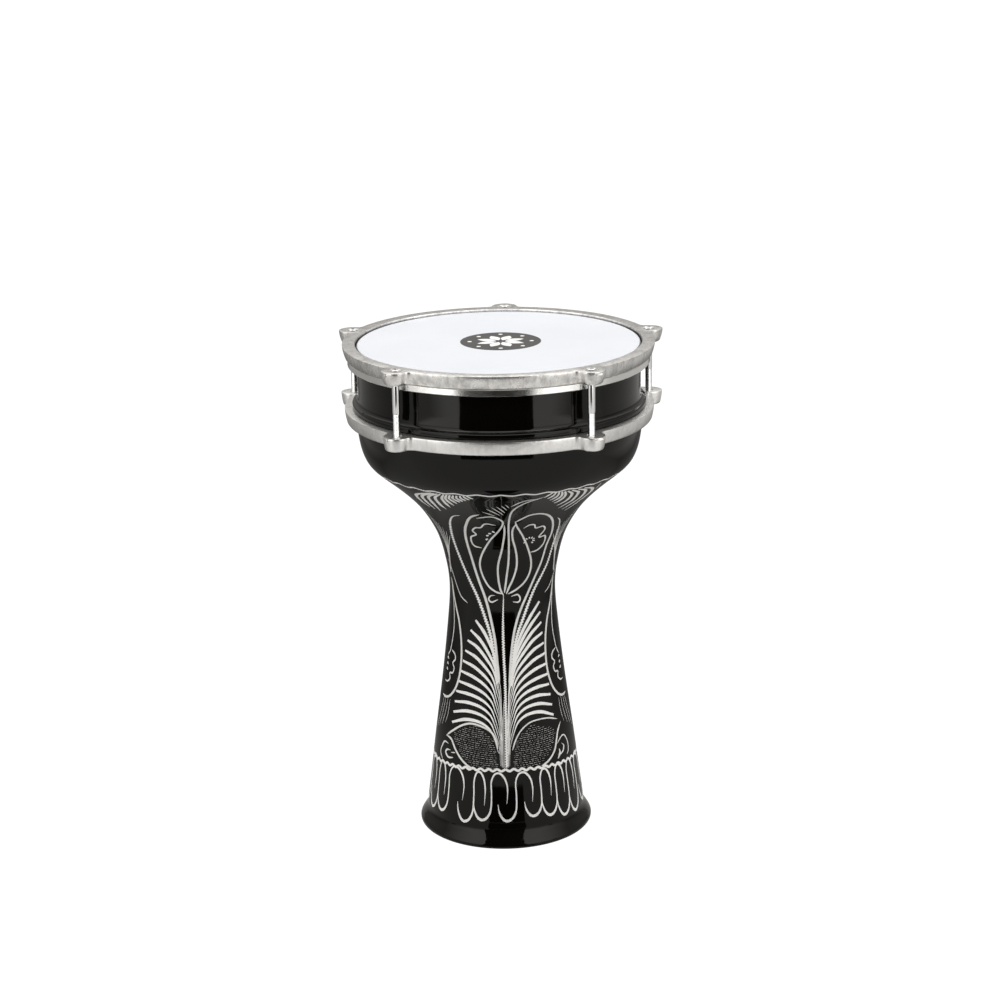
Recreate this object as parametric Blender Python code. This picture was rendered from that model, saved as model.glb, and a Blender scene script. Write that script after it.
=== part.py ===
"""A goblet drum (darbuka): metal shell, plastic head, two eared rings and five tension screws.

The frame: the origin is on the drum's axis at the surface the foot stands on, and +Z is up.
Lengths are in metres. Screw k sits at the angle EAR_START + k * 72 degrees about +Z.
"""

import math

import bmesh
import bpy
from mathutils import Matrix, Vector

MM = 0.001
AROUND = 50  # facets in one turn of the large round pieces
BOLT_SIDES = 16
GAP = 0.3 * MM  # clearance between pieces that rest on each other

# Shell
HEIGHT = 348.0 * MM  # floor to the tension ring's top face
WALL = 3.0 * MM
SHELL_R = 96.2 * MM  # the cylinder under the head
EDGE_ROUND = 2.0 * MM  # bearing edge, outer side
FOOT_REST_IN = 54.4 * MM  # the flat face that stands on the floor starts here
FOOT_LIP_R = 60.7 * MM
FOOT_LIP_ROUND = 2.2 * MM
FOOT_CHAMFER = (1.4 * MM, 1.6 * MM)  # inner edge of the foot: across, up
FOOT_FLARE_TOP = 15.0 * MM  # above this the wall has one thickness
BODY_MM = (  # outer side from the flared foot up, radius and height
    (60.5, 3.4),
    (59.1, 5.8),
    (57.2, 8.8),
    (55.6, 12.2),
    (55.0, 17.0),
    (53.3, 30.0),
    (48.2, 70.0),
    (42.8, 110.0),
    (38.3, 150.0),
    (36.7, 175.0),
    (39.1, 195.0),
    (45.0, 215.5),
    (56.8, 235.0),
    (71.6, 250.0),
    (83.6, 260.0),
    (91.1, 267.5),
    (95.1, 277.5),
    (97.0, 290.0),
    (97.3, 300.0),
)
BEAD_R = 99.9 * MM
BEAD_Z = (304.7 * MM, 308.2 * MM)
BEAD_FILLET = 3.3 * MM
BEAD_NICKS = (0.4 * MM, 0.6 * MM)  # its lower and upper corner
BORE_LOW = 288.0 * MM  # the straight bore under the head starts here
BORE_CHAMFER = (0.6 * MM, 1.1 * MM)  # across, down

# Head: film, hoop and the resin that holds one in the other
FILM_TOP = 346.8 * MM
FILM_THICK = 0.25 * MM
HOOP_R = (97.2 * MM, 102.4 * MM)
HOOP_Z = (334.0 * MM, 338.6 * MM)
HOOP_WALL = 0.8 * MM
FILM_FLANGE_R = 99.8 * MM

# Rings. "draft" is how far the side walls lean in from top to bottom.
EARS = 5
EAR_START = math.radians(87.5)
BOLT_CIRCLE_R = 107.2 * MM
EAR_CENTER_R = 107.9 * MM
EAR_FILLET = 4.0 * MM
TOP_RING = {
    "z": (338.9 * MM, HEIGHT),
    "inner": 97.1 * MM,
    "outer": 105.8 * MM,
    "ear": 9.0 * MM,
    "draft": 2.3 * MM,
}
LOW_RING = {
    "z": (295.1 * MM, 304.4 * MM),
    "inner": 98.0 * MM,
    "outer": 105.2 * MM,
    "ear": 8.7 * MM,
    "draft": 1.4 * MM,
}
CLEAR_HOLE_R = 2.8 * MM
COUNTERBORE_R = 4.75 * MM

# Tension screws: M5 x 45 socket-head cap screws with 22 mm of thread
HEAD_R = 4.25 * MM
HEAD_TALL = 5.0 * MM
HEAD_TOP = HEIGHT - 0.4 * MM
SHANK_R = 2.5 * MM
THREAD_R = 2.3 * MM
BOLT_LONG = 45.0 * MM
THREAD_LONG = 22.0 * MM
HEX_ACROSS = 4.0 * MM
HEX_DEEP = 2.5 * MM


def clear_scene():
    for obj in list(bpy.data.objects):
        bpy.data.objects.remove(obj, do_unlink=True)


def material(name, color, roughness, metallic, coat=0.0):
    made = bpy.data.materials.new(name)
    made.use_nodes = True
    shader = made.node_tree.nodes["Principled BSDF"]
    shader.inputs["Base Color"].default_value = (*color, 1.0)
    shader.inputs["Roughness"].default_value = roughness
    shader.inputs["Metallic"].default_value = metallic
    shader.inputs["Coat Weight"].default_value = coat
    return made


def add_object(name, mesh, finish):
    mesh.materials.append(finish)
    obj = bpy.data.objects.new(name, mesh)
    bpy.context.scene.collection.objects.link(obj)
    return obj


def mesh_of(name, bm, smooth_below=35.0):
    bmesh.ops.recalc_face_normals(bm, faces=bm.faces)
    mesh = bpy.data.meshes.new(name)
    bm.to_mesh(mesh)
    bm.free()
    mesh.shade_smooth()
    mesh.set_sharp_from_angle(angle=math.radians(smooth_below))
    return mesh


def arc(center, radius, start, end, steps):
    """Points (r, z) along an arc; the angles are in degrees, from +r towards +z."""
    turns = [math.radians(start + (end - start) * i / steps) for i in range(steps + 1)]
    return [(center[0] + radius * math.cos(t), center[1] + radius * math.sin(t)) for t in turns]


def smooth_curve(points, steps):
    """A Catmull-Rom curve through the points, with this many steps between each two."""
    ends = [2 * Vector(points[0]) - Vector(points[1]), 2 * Vector(points[-1]) - Vector(points[-2])]
    p = [ends[0], *map(Vector, points), ends[1]]
    curve = []
    for i in range(1, len(p) - 2):
        for step in range(steps):
            t = step / steps
            curve.append(
                0.5
                * (
                    2 * p[i]
                    + (p[i + 1] - p[i - 1]) * t
                    + (2 * p[i - 1] - 5 * p[i] + 4 * p[i + 1] - p[i + 2]) * t**2
                    + (3 * p[i] - p[i - 1] - 3 * p[i + 1] + p[i + 2]) * t**3
                )
            )
    return [tuple(q) for q in curve] + [tuple(points[-1])]


def offset_inwards(curve, distance):
    """The curve moved by distance to the side of the drum's axis; the curve runs upwards."""
    moved = []
    for i, here in enumerate(curve):
        before = Vector(curve[max(i - 1, 0)])
        after = Vector(curve[min(i + 1, len(curve) - 1)])
        along = (after - before).normalized()
        moved.append((here[0] - along.y * distance, here[1] + along.x * distance))
    return moved


def revolve(outline, segments, closed=True):
    """A bmesh turned about +Z from points (r, z); an open outline starts and ends on the axis."""
    bm = bmesh.new()
    points = [bm.verts.new((r, 0.0, z)) for r, z in outline]
    pairs = list(zip(points, points[1:] + points[:1])) if closed else list(zip(points, points[1:]))
    edges = [bm.edges.new(pair) for pair in pairs]
    bmesh.ops.spin(
        bm,
        geom=points + edges,
        cent=(0.0, 0.0, 0.0),
        axis=(0.0, 0.0, 1.0),
        angle=2.0 * math.pi,
        steps=segments,
        use_merge=True,
    )
    bmesh.ops.remove_doubles(bm, verts=bm.verts, dist=0.001 * MM)
    return bm


def shell_outline():
    body = [(r * MM, z * MM) for r, z in BODY_MM]
    outer = smooth_curve(body, 2)
    foot = arc((FOOT_LIP_R - FOOT_LIP_ROUND, FOOT_LIP_ROUND), FOOT_LIP_ROUND, -90.0, 0.0, 3)
    bead = [
        (outer[-1][0], BEAD_Z[0]),
        (BEAD_R - BEAD_NICKS[0], BEAD_Z[0]),
        (BEAD_R, BEAD_Z[0] + BEAD_NICKS[0]),
        (BEAD_R, BEAD_Z[1] - BEAD_NICKS[1]),
        *arc((SHELL_R + BEAD_FILLET, BEAD_Z[1] + BEAD_FILLET), BEAD_FILLET, 270.0, 180.0, 3),
    ]
    top = FILM_TOP - FILM_THICK - GAP
    edge = arc((SHELL_R - EDGE_ROUND, top - EDGE_ROUND), EDGE_ROUND, 0.0, 90.0, 3)
    bore = SHELL_R - WALL
    above_flare = [p for p in body if p[1] > FOOT_FLARE_TOP]
    inner = [p for p in offset_inwards(above_flare, WALL) if p[0] < bore - 0.2 * MM][::-1]
    outline = [(FOOT_REST_IN, 0.0), *foot, *outer, *bead, *edge]
    outline += [(bore + BORE_CHAMFER[0], top), (bore, top - BORE_CHAMFER[1]), (bore, BORE_LOW)]
    return outline + inner + [(FOOT_REST_IN - FOOT_CHAMFER[0], FOOT_CHAMFER[1])]


def film_outline():
    """Flat membrane, rolled over the bearing edge, down the collar and out into the hoop."""
    top_in = FILM_TOP - FILM_THICK
    edge_center = (SHELL_R - EDGE_ROUND, top_in - GAP - EDGE_ROUND)
    inside = EDGE_ROUND + GAP
    outside = inside + FILM_THICK
    bend = 0.5 * MM
    flange_mid = (HOOP_Z[0] + HOOP_Z[1]) / 2
    flange_top = flange_mid + FILM_THICK / 2
    flange_low = flange_mid - FILM_THICK / 2
    collar_r = edge_center[0] + outside
    upper = [(0.0, FILM_TOP)] + arc(edge_center, outside, 90.0, 0.0, 4)
    upper += arc((collar_r + bend, flange_top + bend), bend, 180.0, 270.0, 2)
    upper += [(FILM_FLANGE_R, flange_top), (FILM_FLANGE_R, flange_low)]
    lower = arc((collar_r + bend, flange_top + bend), bend + FILM_THICK, 270.0, 180.0, 2)
    lower += arc(edge_center, inside, 0.0, 90.0, 4) + [(0.0, top_in)]
    return upper + lower


def hoop_outline():
    """A channel that opens towards the shell."""
    inner, outer = HOOP_R
    low, high = HOOP_Z
    wall = HOOP_WALL
    nick = 0.4 * MM
    return [
        (inner, low),
        (outer - nick, low),
        (outer, low + nick),
        (outer, high - nick),
        (outer - nick, high),
        (inner, high),
        (inner, high - wall),
        (outer - wall, high - wall),
        (outer - wall, low + wall),
        (inner, low + wall),
    ]


def resin_outline():
    """The cast ring in the hoop's channel, slotted for the film's flange."""
    inner = HOOP_R[0] + 0.3 * MM
    outer = HOOP_R[1] - HOOP_WALL - GAP
    low = HOOP_Z[0] + HOOP_WALL + GAP
    high = HOOP_Z[1] - HOOP_WALL - GAP
    middle = (low + high) / 2
    slot = FILM_THICK / 2 + GAP
    bottom = FILM_FLANGE_R + GAP
    return [
        (inner, low),
        (outer, low),
        (outer, high),
        (inner, high),
        (inner, middle + slot),
        (bottom, middle + slot),
        (bottom, middle - slot),
        (inner, middle - slot),
    ]


def eared_loop(ring, inset):
    """Points (x, y) round a ring with ears, its side walls moved in by inset."""
    body_r = ring["outer"] - inset
    ear_r = ring["ear"] - inset
    fillet_r = EAR_FILLET + inset
    reach = ring["outer"] + EAR_FILLET
    span = ring["ear"] + EAR_FILLET
    cosine = (reach**2 + EAR_CENTER_R**2 - span**2) / (2 * EAR_CENTER_R * reach)
    half = math.acos(cosine)  # from the ear's middle to the end of its fillet, seen from the axis
    fillet_at = Vector((reach * math.cos(half), reach * math.sin(half)))
    ear_at = Vector((EAR_CENTER_R, 0.0))
    to_ear = ear_at - fillet_at
    ear_turn = math.atan2(-to_ear.y, -to_ear.x)
    points = []
    for k in range(EARS):
        turn = EAR_START + k * 2 * math.pi / EARS
        ear = []
        for i in range(-4, 5):
            t = ear_turn * i / 4
            ear.append((ear_at.x + ear_r * math.cos(t), ear_r * math.sin(t)))
        start = math.atan2(to_ear.y, to_ear.x)
        end = half - math.pi
        fillet = []
        for i in range(1, 4):
            t = start + (end - start) * i / 3
            x = fillet_at.x + fillet_r * math.cos(t)
            fillet.append((x, fillet_at.y + fillet_r * math.sin(t)))
        mirrored = [(x, -y) for x, y in reversed(fillet)]
        spare = 2 * math.pi / EARS - 2 * half
        between = []
        for i in range(1, 8):
            t = half + spare * i / 8
            between.append((body_r * math.cos(t), body_r * math.sin(t)))
        rotate = Matrix.Rotation(turn, 2)
        points += [rotate @ Vector(p) for p in mirrored + ear + fillet + between]
    return points


def eared_ring(name, ring):
    """A drafted ring with ears: the outer loops are joined to a round bore."""
    low, high = ring["z"]
    edge = 0.5 * MM
    draft = ring["draft"]
    levels = [
        (low, draft + edge),
        (low + edge, draft),
        (high - edge, draft * edge / (high - low)),
        (high, edge),
    ]
    bm = bmesh.new()
    loops = []
    for z, inset in levels:
        loops.append([bm.verts.new((x, y, z)) for x, y in eared_loop(ring, inset)])
    for z in (high, low):
        bore = [v.co.xy.normalized() * ring["inner"] for v in loops[0]]
        loops.append([bm.verts.new((*xy, z)) for xy in bore])
    for near, far in zip(loops, loops[1:] + loops[:1]):
        for i in range(len(near)):
            j = (i + 1) % len(near)
            bm.faces.new((near[i], near[j], far[j], far[i]))
    return mesh_of(name, bm)


def ear_places():
    turns = [EAR_START + k * 2 * math.pi / EARS for k in range(EARS)]
    return [Vector((BOLT_CIRCLE_R * math.cos(t), BOLT_CIRCLE_R * math.sin(t), 0.0)) for t in turns]


def hole_cutter(name, outline):
    """Five turned plugs, one at each ear, that only cut."""
    whole = bmesh.new()
    for place in ear_places():
        plug = revolve(outline, BOLT_SIDES, closed=False)
        bmesh.ops.recalc_face_normals(plug, faces=plug.faces)
        bmesh.ops.translate(plug, verts=plug.verts, vec=place)
        held = bpy.data.meshes.new(name + "_plug")
        plug.to_mesh(held)
        plug.free()
        whole.from_mesh(held)
        bpy.data.meshes.remove(held)
    mesh = bpy.data.meshes.new(name)
    whole.to_mesh(mesh)
    whole.free()
    obj = bpy.data.objects.new(name, mesh)
    bpy.context.scene.collection.objects.link(obj)
    obj.hide_render = True
    obj.display_type = "WIRE"
    return obj


def cut(obj, cutter):
    boolean = obj.modifiers.new("cut_" + cutter.name, "BOOLEAN")
    boolean.operation = "DIFFERENCE"
    boolean.solver = "EXACT"
    boolean.object = cutter


def bolt_mesh(finish):
    """One cap screw along -Z, its head's top face at z = 0, with its hexagon socket cut."""
    under = -HEAD_TALL
    step = under - (BOLT_LONG - THREAD_LONG)
    tip = under - BOLT_LONG
    nick = 0.5 * MM
    outline = [
        (0.0, 0.0),
        (HEAD_R - nick, 0.0),
        (HEAD_R, -nick),
        (HEAD_R, under),
        (SHANK_R, under),
        (SHANK_R, step + 0.2 * MM),
        (THREAD_R, step),
        (THREAD_R, tip + nick),
        (THREAD_R - nick, tip),
        (0.0, tip),
    ]
    turned = revolve(outline, BOLT_SIDES, closed=False)
    blank = add_object("bolt_blank", mesh_of("bolt_blank", turned), finish)
    socket = bmesh.new()
    bmesh.ops.create_cone(
        socket,
        cap_ends=True,
        segments=6,
        radius1=HEX_ACROSS / math.sqrt(3.0),
        radius2=HEX_ACROSS / math.sqrt(3.0),
        depth=2 * HEX_DEEP,
    )
    cutter = bpy.data.objects.new("socket_cutter", mesh_of("socket_cutter", socket))
    bpy.context.scene.collection.objects.link(cutter)
    cut(blank, cutter)
    graph = bpy.context.evaluated_depsgraph_get()
    mesh = bpy.data.meshes.new_from_object(blank.evaluated_get(graph))
    mesh.name = "tension_bolt"
    bpy.data.objects.remove(blank)
    bpy.data.objects.remove(cutter)
    return mesh


def build_shell():
    lacquer = material("black_lacquer", (0.008, 0.008, 0.008), 0.12, 0.0, coat=1.0)
    return add_object("shell", mesh_of("shell", revolve(shell_outline(), AROUND)), lacquer)


def build_head():
    film = material("white_film", (0.86, 0.88, 0.90), 0.35, 0.0)
    bright = material("bright_aluminium", (0.86, 0.86, 0.84), 0.22, 1.0)
    resin = material("cast_resin", (0.72, 0.60, 0.36), 0.45, 0.0)
    membrane = revolve(film_outline(), AROUND, closed=False)
    add_object("drumhead_film", mesh_of("drumhead_film", membrane), film)
    add_object("head_hoop", mesh_of("head_hoop", revolve(hoop_outline(), AROUND)), bright)
    add_object("head_resin", mesh_of("head_resin", revolve(resin_outline(), AROUND)), resin)


def build_rings():
    upper = material("cast_aluminium_upper", (0.72, 0.72, 0.70), 0.32, 1.0)
    lower = material("cast_aluminium_lower", (0.72, 0.72, 0.70), 0.32, 1.0)
    top_ring = add_object("tension_ring", eared_ring("tension_ring", TOP_RING), upper)
    low_ring = add_object("counter_ring", eared_ring("counter_ring", LOW_RING), lower)
    past = 2 * MM
    floor = HEAD_TOP - HEAD_TALL - GAP
    stepped = [
        (0.0, HEIGHT + past),
        (COUNTERBORE_R, HEIGHT + past),
        (COUNTERBORE_R, floor),
        (CLEAR_HOLE_R, floor),
        (CLEAR_HOLE_R, TOP_RING["z"][0] - past),
        (0.0, TOP_RING["z"][0] - past),
    ]
    tapped = [
        (0.0, LOW_RING["z"][1] + past),
        (THREAD_R + GAP, LOW_RING["z"][1] + past),
        (THREAD_R + GAP, LOW_RING["z"][0] - past),
        (0.0, LOW_RING["z"][0] - past),
    ]
    cut(top_ring, hole_cutter("clearance_holes", stepped))
    cut(low_ring, hole_cutter("tapped_holes", tapped))
    return top_ring


def build_bolts(top_ring):
    zinc = material("bright_zinc", (0.82, 0.83, 0.84), 0.18, 1.0)
    mesh = bolt_mesh(zinc)
    for k, place in enumerate(ear_places(), start=1):
        bolt = bpy.data.objects.new(f"tension_bolt_{k}", mesh)
        bpy.context.scene.collection.objects.link(bolt)
        bolt.parent = top_ring
        bolt.location = place + Vector((0.0, 0.0, HEAD_TOP))


clear_scene()
build_shell()
build_head()
build_bolts(build_rings())
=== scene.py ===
"""Looks for the goblet drum: turned shell with bright-cut engraving, head, eared rings and cap screws.

Lengths are in metres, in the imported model's frame. Engraved strokes are placed on the shell by an
angle in degrees, measured from the front (-Y) towards +X, and a height in millimetres.
"""

import math
import random

import bmesh
import bpy
from mathutils import Matrix, Vector


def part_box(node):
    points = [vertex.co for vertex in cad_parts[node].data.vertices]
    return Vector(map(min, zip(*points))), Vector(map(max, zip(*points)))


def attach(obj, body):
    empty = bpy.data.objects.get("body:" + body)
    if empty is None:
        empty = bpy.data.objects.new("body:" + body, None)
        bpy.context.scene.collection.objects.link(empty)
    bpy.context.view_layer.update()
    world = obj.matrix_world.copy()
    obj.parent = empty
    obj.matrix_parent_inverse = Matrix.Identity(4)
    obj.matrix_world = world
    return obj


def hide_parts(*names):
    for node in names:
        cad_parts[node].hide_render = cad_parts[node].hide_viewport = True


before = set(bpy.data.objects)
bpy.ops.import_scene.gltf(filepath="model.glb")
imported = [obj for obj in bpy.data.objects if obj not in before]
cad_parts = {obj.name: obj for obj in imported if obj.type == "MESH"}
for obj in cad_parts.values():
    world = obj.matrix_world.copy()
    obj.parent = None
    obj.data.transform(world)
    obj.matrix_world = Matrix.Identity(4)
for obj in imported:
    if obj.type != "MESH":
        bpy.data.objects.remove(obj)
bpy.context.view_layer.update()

MM = 0.001
AROUND = 240  # segments in one turn of the large round pieces
EARS = 5
EAR_START = math.radians(87.5)
BOLT_CIRCLE_R = 107.2 * MM

# ------------ mesh helpers


def linked(name, data):
    obj = bpy.data.objects.new(name, data)
    bpy.context.scene.collection.objects.link(obj)
    return obj


def piece(name, mesh, finish, body, replaced=()):
    """A shown piece of the drum, riding on a body of the frame; finish is its first material."""
    mesh.materials.append(finish)
    obj = linked(name, mesh)
    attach(obj, body)
    if replaced:
        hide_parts(*replaced)
    return obj


def shaded(mesh, sharp_above=32.0):
    mesh.shade_smooth()
    mesh.set_sharp_from_angle(angle=math.radians(sharp_above))
    return mesh


def mesh_from(bm, name):
    """A new mesh with bm's faces turned outwards; bm is freed."""
    bmesh.ops.recalc_face_normals(bm, faces=bm.faces)
    mesh = bpy.data.meshes.new(name)
    bm.to_mesh(mesh)
    bm.free()
    return mesh


def face_outwards(mesh):
    bm = bmesh.new()
    bm.from_mesh(mesh)
    bmesh.ops.recalc_face_normals(bm, faces=bm.faces)
    bm.to_mesh(mesh)
    bm.free()


def bridge(bm, near, far):
    """Faces between two closed loops with the same number of vertices."""
    for i in range(len(near)):
        j = (i + 1) % len(near)
        bm.faces.new((near[i], near[j], far[j], far[i]))


def polar(radius, turn):
    """The point (x, y) at a radius and an angle about +Z."""
    return radius * math.cos(turn), radius * math.sin(turn)


def meridian(node):
    """The outline (r, z) of a turned CAD node in the half plane y = 0, x >= 0, as an ordered list."""
    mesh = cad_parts[node].data
    near = 1e-6
    spot = {}
    for v in mesh.vertices:
        if abs(v.co.y) < near and v.co.x > -near:
            spot[v.index] = (round(v.co.x, 6), round(v.co.z, 6))
    beside = {}
    for edge in mesh.edges:
        a, b = (spot.get(i) for i in edge.vertices)
        if a is not None and b is not None and a != b:
            beside.setdefault(a, []).append(b)
            beside.setdefault(b, []).append(a)
    ends = [p for p, others in beside.items() if len(set(others)) == 1]
    if ends:
        start = max(ends, key=lambda p: p[1])
        after = beside[start][0]
    else:
        start = min(beside, key=lambda p: (p[1], p[0]))
        after = max(beside[start])
    path = [start, after]
    while True:
        onward = [p for p in beside[path[-1]] if p != path[-2]]
        if onward and onward[0] != start:
            path.append(onward[0])
        elif ends:  # a flat middle has no vertex on the axis
            return [(0.0, start[1]), *path, (0.0, path[-1][1])]
        else:
            return path


def catmull(p0, p1, p2, p3, t):
    return 0.5 * (
        2 * p1
        + (p2 - p0) * t
        + (2 * p0 - 5 * p1 + 4 * p2 - p3) * t**2
        + (3 * p1 - p0 - 3 * p2 + p3) * t**3
    )


SHORTEST_CURVE = 0.4 * MM  # a shorter run of an outline stays straight


def refined(path, steps, closed, corner=38.0):
    """The outline with more points on its curves; a turn sharper than the corner angle stays sharp."""
    points = [Vector(p) for p in path]
    count = len(points)
    sharp = []
    for i, here in enumerate(points):
        into = here - points[i - 1]
        out = points[(i + 1) % count] - here
        at_end = not closed and i in (0, count - 1)
        sharp.append(at_end or into.angle(out) > math.radians(corner))
    fine = []
    for i in range(count if closed else count - 1):
        a, b = points[i], points[(i + 1) % count]
        before = 2 * a - b if sharp[i] else points[i - 1]
        after = 2 * b - a if sharp[(i + 1) % count] else points[(i + 2) % count]
        # a long straight run next to a tight arc would overshoot, so its pull is cut down
        length = (b - a).length
        if (a - before).length > 2 * length:
            before = a + (before - a).normalized() * length
        if (after - b).length > 2 * length:
            after = b + (after - b).normalized() * length
        parts = steps if length > SHORTEST_CURVE else 1
        fine += [catmull(before, a, b, after, s / parts) for s in range(parts)]
    if not closed:
        fine.append(points[-1])
    return [(max(p.x, 0.0), p.y) for p in fine]


def turned(name, outline, closed=True, around=AROUND):
    """A mesh turned about +Z. An open outline starts and ends on the axis."""
    verts, faces, rings = [], [], []
    for r, z in outline:
        if r < 1e-7:
            rings.append([len(verts)] * around)
            verts.append((0.0, 0.0, z))
            continue
        rings.append(range(len(verts), len(verts) + around))
        for k in range(around):
            verts.append((*polar(r, 2 * math.pi * k / around), z))
    for near, far in zip(rings, rings[1:] + rings[:1] if closed else rings[1:]):
        for k in range(around):
            n = (k + 1) % around
            corners = list(dict.fromkeys((near[k], near[n], far[n], far[k])))
            if len(corners) > 2:
                faces.append(corners)
    mesh = bpy.data.meshes.new(name)
    mesh.from_pydata(verts, [], faces)
    face_outwards(mesh)
    return shaded(mesh)


def arc(center, radius, start, end, steps):
    """Points (r, z) along an arc; the angles are in degrees, from +r towards +z."""
    turns = [math.radians(start + (end - start) * i / steps) for i in range(steps + 1)]
    around = [polar(radius, t) for t in turns]
    return [(center[0] + r, center[1] + z) for r, z in around]


def apply_cuts(obj, cutters):
    """Cuts the meshes of the cutters from obj's own mesh, then removes them."""
    for cutter in cutters:
        boolean = obj.modifiers.new("cut", "BOOLEAN")
        boolean.operation = "DIFFERENCE"
        boolean.solver = "EXACT"
        boolean.object = cutter
    graph = bpy.context.evaluated_depsgraph_get()
    made = bpy.data.meshes.new_from_object(obj.evaluated_get(graph))
    obj.modifiers.clear()
    old = obj.data
    obj.data = made
    made.name = old.name
    bpy.data.meshes.remove(old)
    for cutter in cutters:
        bpy.data.meshes.remove(cutter.data)
    shaded(made, 28.0)


# ------------ node materials


class Finish:
    """A Principled material with short calls for the nodes that colour it."""

    def __init__(self, name, **constants):
        self.material = bpy.data.materials.new(name)
        self.material.use_nodes = True
        self.tree = self.material.node_tree
        self.shader = self.tree.nodes["Principled BSDF"]
        for key, value in constants.items():
            socket = self.shader.inputs[key.replace("_", " ")]
            socket.default_value = (*value, 1.0) if isinstance(value, tuple) else value
        self.place = self.tree.nodes.new("ShaderNodeTexCoord").outputs["Object"]

    def node(self, kind, inputs=(), **settings):
        made = self.tree.nodes.new("ShaderNode" + kind)
        for key, value in settings.items():
            setattr(made, key, value)
        for key, value in dict(inputs).items():
            made.inputs[key].default_value = value
        return made

    def link(self, output, socket):
        self.tree.links.new(output, socket)

    def stretched(self, scale):
        mapping = self.node("Mapping", {"Scale": scale})
        self.link(self.place, mapping.inputs["Vector"])
        return mapping.outputs["Vector"]

    def noise(self, scale, detail=3.0, roughness=0.55, vector=None, distortion=0.0):
        inputs = {"Scale": scale, "Detail": detail, "Roughness": roughness, "Distortion": distortion}
        made = self.node("TexNoise", inputs)
        self.link(vector or self.place, made.inputs["Vector"])
        return made.outputs["Fac"]

    def wave(self, scale, direction, distortion, detail, vector=None):
        inputs = {"Scale": scale, "Distortion": distortion, "Detail": detail}
        made = self.node("TexWave", inputs, wave_type="BANDS", bands_direction=direction)
        self.link(vector or self.place, made.inputs["Vector"])
        return made.outputs["Fac"]

    def ramp(self, factor, *stops):
        """Colours or greys at given places of a 0 to 1 factor."""
        made = self.node("ValToRGB")
        elements = made.color_ramp.elements
        while len(elements) < len(stops):
            elements.new(0.5)
        for element, (place, value) in zip(elements, stops):
            element.position = place
            color = value if isinstance(value, tuple) else (value, value, value)
            element.color = (*color, 1.0)
        self.link(factor, made.inputs["Fac"])
        return made.outputs["Color"]

    def mixed(self, factor, a, b, blend="MIX"):
        """Colour a turned into colour b; sockets 0, 6, 7 and 2 are the node's own for colours."""
        made = self.node("Mix", data_type="RGBA", blend_type=blend)
        for socket, value in ((made.inputs[0], factor), (made.inputs[6], a), (made.inputs[7], b)):
            if isinstance(value, float):
                socket.default_value = value
            elif isinstance(value, tuple):
                socket.default_value = (*value, 1.0)
            else:
                self.link(value, socket)
        return made.outputs[2]

    def between(self, value, low, high):
        """0 where the value is low or less, 1 where it is high or more."""
        made = self.node("MapRange", {"From Min": low, "From Max": high})
        self.link(value, made.inputs["Value"])
        return made.outputs["Result"]

    def set(self, key, output):
        self.link(output, self.shader.inputs[key])

    def bump(self, height, strength, distance, after=None):
        made = self.node("Bump", {"Strength": strength, "Distance": distance})
        self.link(height, made.inputs["Height"])
        if after is not None:
            self.link(after, made.inputs["Normal"])
        self.link(made.outputs["Normal"], self.shader.inputs["Normal"])
        return made.outputs["Normal"]


def black_lacquer():
    f = Finish("black_lacquer", Base_Color=(0.002, 0.0018, 0.0014), IOR=1.345, Roughness=0.06)
    haze = f.noise(35.0, 4.0, 0.6)
    f.set("Roughness", f.ramp(haze, (0.3, 0.035), (0.75, 0.085)))
    tint = f.noise(9.0)
    f.set("Base Color", f.ramp(tint, (0.35, (0.0016, 0.0014, 0.0010)), (0.7, (0.0030, 0.0026, 0.0020))))
    orange_peel = f.noise(420.0, 2.0, 0.5)
    f.bump(orange_peel, 0.02, 0.0004)
    return f.material


def raw_casting():
    f = Finish("raw_casting", Metallic=0.85, Roughness=0.55)
    grain = f.noise(900.0, 4.0, 0.65)
    cloud = f.noise(28.0, 4.0, 0.6)
    patches = f.ramp(cloud, (0.3, 0.30), (0.7, 0.44))
    specks = f.ramp(grain, (0.3, 0.24), (0.7, 0.5))
    f.set("Base Color", f.mixed(0.35, patches, specks))
    f.set("Roughness", f.ramp(grain, (0.3, 0.45), (0.7, 0.7)))
    f.bump(grain, 0.35, 0.0003)
    return f.material


def cut_metal(name, shaded_side, lit_side):
    """Bright metal left by the graver; its ripples cross each stroke, along the strip's own u, with painted
    light and shade on their faces.
    """
    f = Finish(name, Metallic=0.06, Roughness=0.45)
    along = f.node("UVMap", uv_map="stroke").outputs["UV"]
    ripple = f.wave(0.42, "X", 1.6, 1.0, along)
    cloud = f.noise(160.0, 3.0, 0.55)
    # painted light and shade: the ripple swings the colour from the shaded to the lit grey
    tone = f.ramp(ripple, (0.1, shaded_side), (0.6, lit_side))
    f.set("Base Color", f.mixed(f.ramp(cloud, (0.42, 0.0), (0.75, 0.55)), tone, shaded_side))
    f.set("Roughness", f.ramp(ripple, (0.0, 0.55), (1.0, 0.38)))
    f.bump(ripple, 0.3, 0.0001)
    return f.material


def cast_aluminium(name, light, dark, rough):
    """Tumbled casting: cloudy, with faint vertical file marks on the walls."""
    f = Finish(name, Metallic=1.0, Roughness=rough)
    cloud = f.noise(110.0, 6.0, 0.68, distortion=0.5)
    marks = f.noise(330.0, 5.0, 0.7, f.stretched((1.0, 1.0, 0.3)))
    grain = f.noise(1500.0, 2.0, 0.5)
    patches = f.ramp(cloud, (0.38, dark), (0.56, light))
    streaks = f.ramp(marks, (0.4, dark), (0.55, light))
    f.set("Base Color", f.mixed(0.45, patches, streaks))
    broad = f.ramp(cloud, (0.3, rough + 0.10), (0.7, rough - 0.08))
    fine = f.ramp(grain, (0.3, rough + 0.08), (0.7, rough - 0.06))
    f.set("Roughness", f.mixed(0.5, broad, fine))
    first = f.bump(grain, 0.12, 0.00015)
    f.bump(cloud, 0.5, 0.0008, first)
    return f.material


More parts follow.
